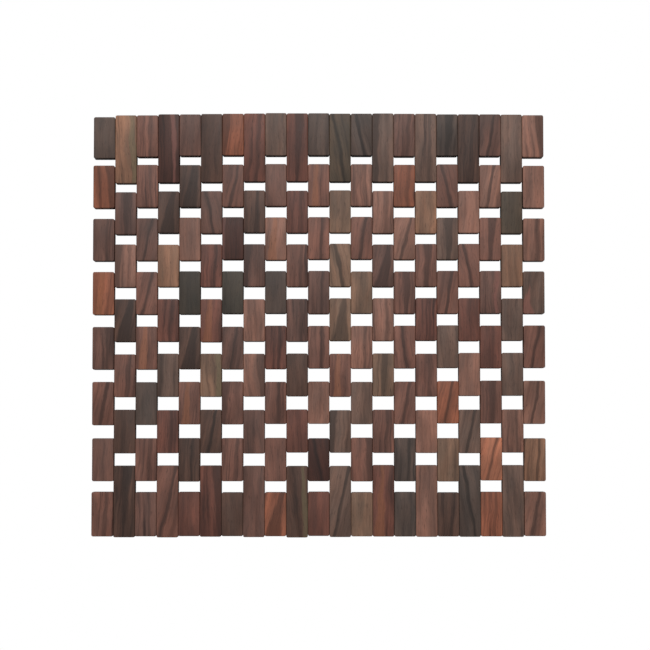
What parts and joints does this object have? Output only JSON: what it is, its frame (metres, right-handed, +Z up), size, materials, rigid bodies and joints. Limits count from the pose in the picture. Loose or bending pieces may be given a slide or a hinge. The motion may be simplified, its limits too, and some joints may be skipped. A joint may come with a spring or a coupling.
{
  "type": "bath mat",
  "caption": "Flat bath mat of dark rosewood blocks strung side by side on hidden cords, with drain gaps between them; it folds and rolls up at the cords.",
  "frame": {"origin": "centre of the underside, on the floor", "axes": "+X to the right along the cords, +Y towards the back edge along the blocks, +Z up"},
  "size_m": [0.4992, 0.4662, 0.011],
  "materials": {
    "rosewood_brown": "satin",
    "rosewood_dark": "satin",
    "rosewood_olive": "satin",
    "rosewood_red": "satin",
    "rosewood_plum": "satin",
    "cord": "matte"
  },
  "bodies": {
    "back_edge": {"row_01_on_cord_01": "rosewood_brown", "row_02_long_on_cord_02": "rosewood_brown"},
    "row_03": {"row_03_on_cords_03_04": "rosewood_brown"},
    "row_04": {"block_row_04_column_02": "rosewood_plum", "block_row_04_column_04": "rosewood_dark", "block_row_04_column_06": "rosewood_red", "block_row_04_column_08": "rosewood_dark", "block_row_04_column_10": "rosewood_red", "block_row_04_column_12": "rosewood_olive", "block_row_04_column_14": "rosewood_olive", "block_row_04_column_16": "rosewood_brown", "block_row_04_column_18": "rosewood_red", "block_row_04_column_20": "rosewood_dark"},
    "row_05": {"row_05_on_cords_05_06": "rosewood_brown"},
    "row_06": {"block_row_06_column_02": "rosewood_brown", "block_row_06_column_04": "rosewood_olive", "block_row_06_column_06": "rosewood_red", "block_row_06_column_08": "rosewood_red", "block_row_06_column_10": "rosewood_brown", "block_row_06_column_12": "rosewood_olive", "block_row_06_column_14": "rosewood_red", "block_row_06_column_16": "rosewood_red", "block_row_06_column_18": "rosewood_red", "block_row_06_column_20": "rosewood_olive"},
    "row_07": {"row_07_on_cords_07_08": "rosewood_brown"},
    "row_08": {"block_row_08_column_02": "rosewood_dark", "block_row_08_column_04": "rosewood_plum", "block_row_08_column_06": "rosewood_red", "block_row_08_column_08": "rosewood_brown", "block_row_08_column_10": "rosewood_dark", "block_row_08_column_12": "rosewood_brown", "block_row_08_column_14": "rosewood_red", "block_row_08_column_16": "rosewood_plum", "block_row_08_column_18": "rosewood_red", "block_row_08_column_20": "rosewood_plum"},
    "row_09": {"row_09_on_cords_09_10": "rosewood_brown"},
    "row_10": {"block_row_10_column_02": "rosewood_brown", "block_row_10_column_04": "rosewood_olive", "block_row_10_column_06": "rosewood_olive", "block_row_10_column_08": "rosewood_brown", "block_row_10_column_10": "rosewood_dark", "block_row_10_column_12": "rosewood_red", "block_row_10_column_14": "rosewood_olive", "block_row_10_column_16": "rosewood_plum", "block_row_10_column_18": "rosewood_brown", "block_row_10_column_20": "rosewood_dark"},
    "row_11": {"row_11_on_cords_11_12": "rosewood_brown"},
    "row_12": {"block_row_12_column_02": "rosewood_brown", "block_row_12_column_04": "rosewood_plum", "block_row_12_column_06": "rosewood_dark", "block_row_12_column_08": "rosewood_plum", "block_row_12_column_10": "rosewood_red", "block_row_12_column_12": "rosewood_olive", "block_row_12_column_14": "rosewood_red", "block_row_12_column_16": "rosewood_plum", "block_row_12_column_18": "rosewood_olive", "block_row_12_column_20": "rosewood_brown"},
    "row_13": {"row_13_on_cords_13_14": "rosewood_brown"},
    "front_edge": {"row_14_long_on_cord_15": "rosewood_brown", "row_15_on_cord_16": "rosewood_brown"}
  },
  "joints": [
    {"name": "fold_at_cord_03", "type": "hinge", "parent": "back_edge", "child": "row_03", "pos_m": [0, 0.16925, 0.0055], "axis": [-1, 0, 0], "range_deg": [-140, 140]},
    {"name": "fold_at_cord_04", "type": "hinge", "parent": "row_03", "child": "row_04", "pos_m": [0, 0.13995, 0.0055], "axis": [1, 0, 0], "range_deg": [-140, 140]},
    {"name": "fold_at_cord_05", "type": "hinge", "parent": "row_04", "child": "row_05", "pos_m": [0, 0.11045, 0.0055], "axis": [-1, 0, 0], "range_deg": [-140, 140]},
    {"name": "fold_at_cord_06", "type": "hinge", "parent": "row_05", "child": "row_06", "pos_m": [0, 0.08075, 0.0055], "axis": [1, 0, 0], "range_deg": [-140, 140]},
    {"name": "fold_at_cord_07", "type": "hinge", "parent": "row_06", "child": "row_07", "pos_m": [0, 0.05085, 0.0055], "axis": [-1, 0, 0], "range_deg": [-140, 140]},
    {"name": "fold_at_cord_08", "type": "hinge", "parent": "row_07", "child": "row_08", "pos_m": [0, 0.02075, 0.0055], "axis": [1, 0, 0], "range_deg": [-140, 140]},
    {"name": "fold_at_cord_09", "type": "hinge", "parent": "row_08", "child": "row_09", "pos_m": [0, -0.00955, 0.0055], "axis": [-1, 0, 0], "range_deg": [-140, 140]},
    {"name": "fold_at_cord_10", "type": "hinge", "parent": "row_09", "child": "row_10", "pos_m": [0, -0.04005, 0.0055], "axis": [1, 0, 0], "range_deg": [-140, 140]},
    {"name": "fold_at_cord_11", "type": "hinge", "parent": "row_10", "child": "row_11", "pos_m": [0, -0.07075, 0.0055], "axis": [-1, 0, 0], "range_deg": [-140, 140]},
    {"name": "fold_at_cord_12", "type": "hinge", "parent": "row_11", "child": "row_12", "pos_m": [0, -0.10165, 0.0055], "axis": [1, 0, 0], "range_deg": [-140, 140]},
    {"name": "fold_at_cord_13", "type": "hinge", "parent": "row_12", "child": "row_13", "pos_m": [0, -0.13275, 0.0055], "axis": [-1, 0, 0], "range_deg": [-140, 140]},
    {"name": "fold_at_cord_14", "type": "hinge", "parent": "row_13", "child": "front_edge", "pos_m": [0, -0.16405, 0.0055], "axis": [1, 0, 0], "range_deg": [-140, 140]}
  ]
}
